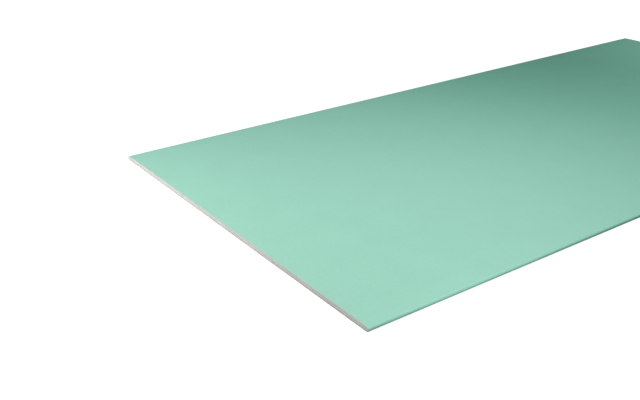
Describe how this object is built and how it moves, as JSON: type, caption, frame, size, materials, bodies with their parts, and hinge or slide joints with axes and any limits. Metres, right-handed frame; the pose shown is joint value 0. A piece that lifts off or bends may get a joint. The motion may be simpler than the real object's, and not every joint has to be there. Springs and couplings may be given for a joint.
{
  "type": "drywall sheet",
  "caption": "Moisture-resistant drywall sheet: gypsum core bare at its square-cut ends, green face paper wrapped round tapered half-round long edges, back paper lapped over the folds.",
  "frame": {"origin": "middle of the back, in the plane that the sheet lies on", "axes": "+X along the sheet, +Y across it, +Z out of its green face"},
  "size_m": [2.5, 1.2, 0.0125],
  "materials": {
    "gypsum": "matte, chalky, cut with fine pores",
    "green_face_paper": "matte, uncoated, with fine fibres along the sheet",
    "grey_back_paper": "matte, uncoated, flecked recycled paper"
  },
  "bodies": {
    "root": {"gypsum_core": "gypsum", "face_paper": "green_face_paper", "back_paper": "grey_back_paper"}
  },
  "joints": []
}
